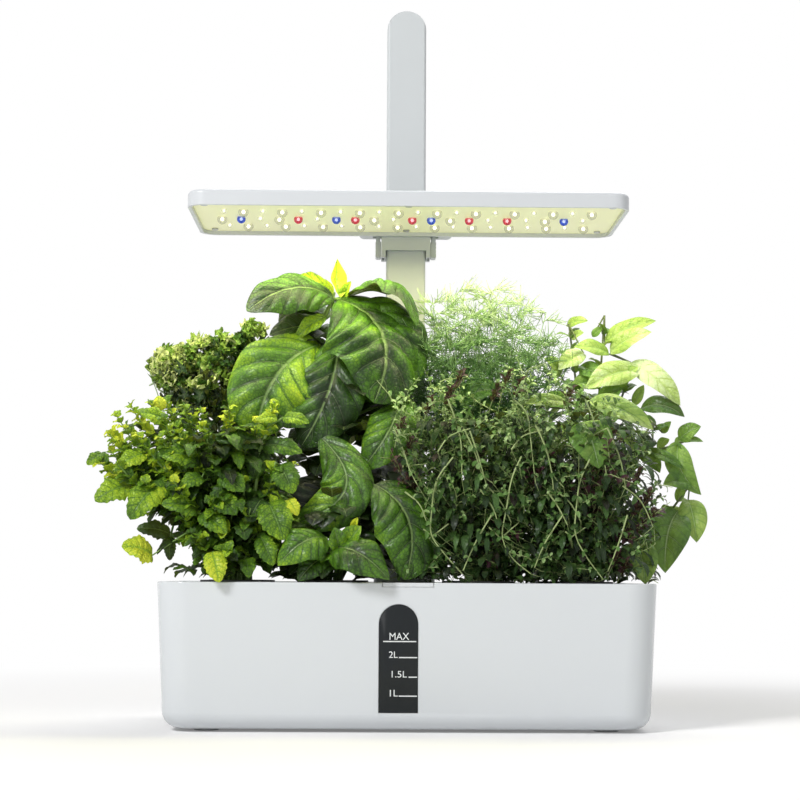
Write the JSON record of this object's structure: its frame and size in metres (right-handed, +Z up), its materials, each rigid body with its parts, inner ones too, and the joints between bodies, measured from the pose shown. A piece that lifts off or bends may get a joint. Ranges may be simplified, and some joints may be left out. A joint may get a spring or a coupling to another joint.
{
  "type": "countertop hydroponic garden",
  "caption": "Countertop water tank with a lift-off deck of herb pods, a flat mast and a wide LED grow lamp that slides on the mast.",
  "frame": {"origin": "middle of the tank on the surface it stands on, at the centre foot's underside", "axes": "+Z up, -Y towards the level window, +X to the right seen from the front"},
  "size_m": [0.388, 0.168, 0.475],
  "materials": {
    "tank_white": "gloss",
    "rubber": "matte",
    "smoked_window": "gloss",
    "deck_white": "satin",
    "mast_white": "satin",
    "lamp_white": "satin",
    "steel": "satin",
    "copper": "satin",
    "aluminium": "satin",
    "pump_black": "satin",
    "pump_grey": "satin",
    "led_board": "satin",
    "led_white": "gloss",
    "led_warm": "gloss",
    "led_blue": "gloss",
    "led_red": "gloss",
    "circuit_board": "satin",
    "basket_black": "satin",
    "sponge": "matte",
    "leaf_mint": "satin",
    "leaf_small_basil": "gloss",
    "leaf_thyme": "matte",
    "leaf_creeping_thyme": "matte",
    "leaf_parsley": "satin",
    "leaf_basil": "gloss",
    "leaf_dill": "matte",
    "leaf_lemon_basil": "satin"
  },
  "bodies": {
    "tank": {"tank": "tank_white", "tank_feet": "rubber", "level_window": "smoked_window", "window_gasket": "rubber"},
    "deck": {"grow_deck": "deck_white", "flap_pin": "steel", "flap_spring": "steel", "mast": "mast_white", "mast_boot": "mast_white", "mast_screws": "steel", "contact_strips": "copper", "power_inlet": "steel", "pump_motor": "pump_black", "pump_strainer": "pump_black", "pump_riser": "deck_white"},
    "flap": {"fill_flap": "deck_white"},
    "impeller": {"impeller": "pump_grey"},
    "lamp": {"carriage": "mast_white", "carriage_cover": "mast_white", "carriage_screws": "steel", "carriage_contacts": "copper", "lever_pins": "steel", "lever_spring_left": "steel", "lever_spring_right": "steel", "lamp_housing": "lamp_white", "heat_spreader": "aluminium", "led_board": "led_board", "white_leds": "led_white", "warm_leds": "led_warm", "blue_leds": "led_blue", "red_leds": "led_red", "driver_board": "circuit_board", "board_screws": "steel"},
    "lever_left": {"lever_left": "mast_white"},
    "lever_right": {"lever_right": "mast_white"},
    "mode_button": {"mode_button": "lamp_white"},
    "pod_mint": {"basket_mint": "basket_black", "sponge_mint": "sponge", "plant_mint": "leaf_mint"},
    "pod_small_basil": {"basket_small_basil": "basket_black", "sponge_small_basil": "sponge", "plant_small_basil": "leaf_small_basil"},
    "pod_thyme": {"basket_thyme": "basket_black", "sponge_thyme": "sponge", "plant_thyme": "leaf_thyme"},
    "pod_creeping_thyme": {"basket_creeping_thyme": "basket_black", "sponge_creeping_thyme": "sponge", "plant_creeping_thyme": "leaf_creeping_thyme"},
    "pod_parsley": {"basket_parsley": "basket_black", "sponge_parsley": "sponge", "plant_parsley": "leaf_parsley"},
    "pod_basil": {"basket_basil": "basket_black", "sponge_basil": "sponge", "plant_basil": "leaf_basil"},
    "pod_dill": {"basket_dill": "basket_black", "sponge_dill": "sponge", "plant_dill": "leaf_dill"},
    "pod_lemon_basil": {"basket_lemon_basil": "basket_black", "sponge_lemon_basil": "sponge", "plant_lemon_basil": "leaf_lemon_basil"}
  },
  "joints": [
    {"name": "deck_lift", "type": "slide", "parent": "tank", "child": "deck", "axis": [0, 0, 1], "range_m": [0, 0.1]},
    {"name": "lamp_slide", "type": "slide", "parent": "deck", "child": "lamp", "axis": [0, 0, 1], "range_m": [-0.015, 0.1]},
    {"name": "flap_hinge", "type": "hinge", "parent": "deck", "child": "flap", "pos_m": [0, -0.034, 0.0826], "axis": [1, 0, 0], "range_deg": [0, 60], "stiffness_Nm_per_rad": 0.02, "springref_deg": -28.65, "deforming": ["flap_spring"]},
    {"name": "impeller_spin", "type": "hinge", "parent": "deck", "child": "impeller", "pos_m": [0, 0.008, 0.02], "axis": [0, 0, 1], "continuous": true},
    {"name": "mode_press", "type": "slide", "parent": "lamp", "child": "mode_button", "axis": [0, 0, -1], "range_m": [0, 0.0005], "stiffness_N_per_m": 800, "springref_m": -0.0015},
    {"name": "release_left", "type": "hinge", "parent": "lamp", "child": "lever_left", "pos_m": [-0.0205, 0.06, 0.328], "axis": [0, -1, 0], "range_deg": [0, 5], "stiffness_Nm_per_rad": 0.3, "springref_deg": -11.46, "deforming": ["lever_spring_left"]},
    {"name": "release_right", "type": "hinge", "parent": "lamp", "child": "lever_right", "pos_m": [0.0205, 0.06, 0.328], "axis": [0, 1, 0], "range_deg": [0, 5], "stiffness_Nm_per_rad": 0.3, "springref_deg": -11.46, "deforming": ["lever_spring_right"]},
    {"name": "lift_mint", "type": "slide", "parent": "deck", "child": "pod_mint", "axis": [0, 0, 1], "range_m": [0, 0.06], "deforming": ["plant_mint"]},
    {"name": "lift_small_basil", "type": "slide", "parent": "deck", "child": "pod_small_basil", "axis": [0, 0, 1], "range_m": [0, 0.06], "deforming": ["plant_small_basil"]},
    {"name": "lift_thyme", "type": "slide", "parent": "deck", "child": "pod_thyme", "axis": [0, 0, 1], "range_m": [0, 0.06], "deforming": ["plant_thyme"]},
    {"name": "lift_creeping_thyme", "type": "slide", "parent": "deck", "child": "pod_creeping_thyme", "axis": [0, 0, 1], "range_m": [0, 0.06], "deforming": ["plant_creeping_thyme"]},
    {"name": "lift_parsley", "type": "slide", "parent": "deck", "child": "pod_parsley", "axis": [0, 0, 1], "range_m": [0, 0.06], "deforming": ["plant_parsley"]},
    {"name": "lift_basil", "type": "slide", "parent": "deck", "child": "pod_basil", "axis": [0, 0, 1], "range_m": [0, 0.06], "deforming": ["plant_basil"]},
    {"name": "lift_dill", "type": "slide", "parent": "deck", "child": "pod_dill", "axis": [0, 0, 1], "range_m": [0, 0.06], "deforming": ["plant_dill"]},
    {"name": "lift_lemon_basil", "type": "slide", "parent": "deck", "child": "pod_lemon_basil", "axis": [0, 0, 1], "range_m": [0, 0.06], "deforming": ["plant_lemon_basil"]}
  ]
}
